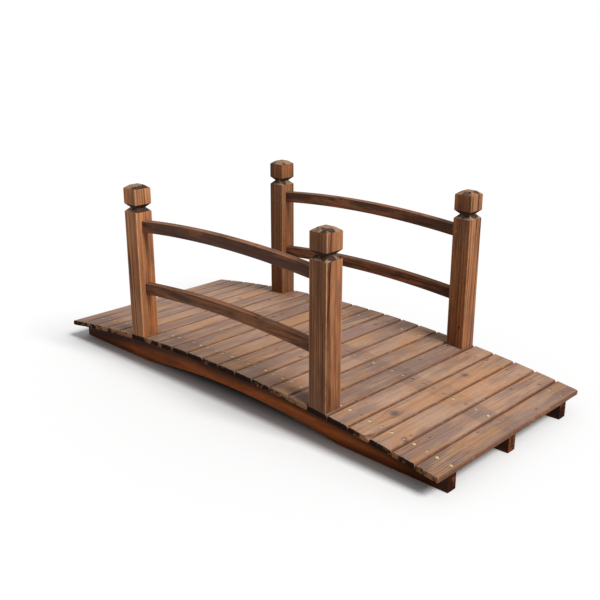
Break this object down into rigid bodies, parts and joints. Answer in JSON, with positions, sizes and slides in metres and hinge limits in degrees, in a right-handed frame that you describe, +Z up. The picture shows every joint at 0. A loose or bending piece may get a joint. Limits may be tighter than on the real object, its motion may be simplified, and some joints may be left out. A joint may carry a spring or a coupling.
{
  "type": "garden moon bridge",
  "caption": "Small wooden garden bridge with an arched plank deck, arched beams below and a short curved railing between capped posts on each side.",
  "frame": {"origin": "on the ground, at the middle of the bridge's length and width", "axes": "+X along the bridge, +Y across it to the left side, +Z up"},
  "size_m": [1.5244, 0.67, 0.5836],
  "materials": {
    "deck_boards": "heat-treated softwood with dark grain, knots and grey-mauve stains, satin",
    "beams": "softwood with red-brown stain, satin",
    "posts": "softwood with strong dark upright grain, satin",
    "rails": "dark chocolate-brown softwood with long grain, satin",
    "screws": "yellow passivated countersunk cross-head screws"
  },
  "bodies": {
    "root": {"deck_plank_01": "deck_boards", "deck_plank_02": "deck_boards", "deck_plank_03": "deck_boards", "deck_plank_04": "deck_boards", "deck_plank_05": "deck_boards", "deck_plank_06": "deck_boards", "deck_plank_07": "deck_boards", "deck_plank_08": "deck_boards", "deck_plank_09": "deck_boards", "deck_plank_10": "deck_boards", "deck_plank_11": "deck_boards", "deck_plank_12": "deck_boards", "deck_plank_13": "deck_boards", "deck_plank_14": "deck_boards", "deck_plank_15": "deck_boards", "deck_plank_16": "deck_boards", "deck_plank_17": "deck_boards", "deck_plank_18": "deck_boards", "deck_plank_19": "deck_boards", "deck_plank_20": "deck_boards", "deck_plank_21": "deck_boards", "deck_plank_22": "deck_boards", "side_beam_left": "beams", "centre_beam": "beams", "side_beam_right": "beams", "left_post_1": "posts", "left_post_2": "posts", "right_post_1": "posts", "right_post_2": "posts", "left_upper_rail": "rails", "left_lower_rail": "rails", "right_upper_rail": "rails", "right_lower_rail": "rails"}
  },
  "joints": []
}
